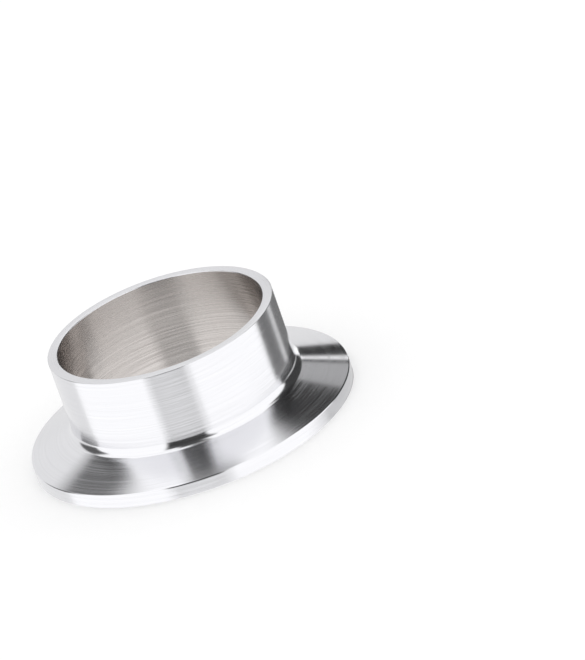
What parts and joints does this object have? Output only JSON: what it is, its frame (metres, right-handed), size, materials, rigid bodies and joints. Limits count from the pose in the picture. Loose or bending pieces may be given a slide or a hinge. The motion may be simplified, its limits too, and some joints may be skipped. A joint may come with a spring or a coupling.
{
  "type": "sanitary clamp ferrule",
  "caption": "Short weld-end tube ferrule whose bevelled flange and gasket groove seal in a clamp joint.",
  "frame": {"origin": "centre of the flange's flat sealing face, which is the base", "axes": "+Z along the tube's axis, from the sealing face to the weld end"},
  "size_m": [0.064, 0.064, 0.0215],
  "materials": {
    "stainless_steel": "turned and polished, with a satin bore"
  },
  "bodies": {
    "root": {"clamp_ferrule": "stainless_steel"}
  },
  "joints": []
}
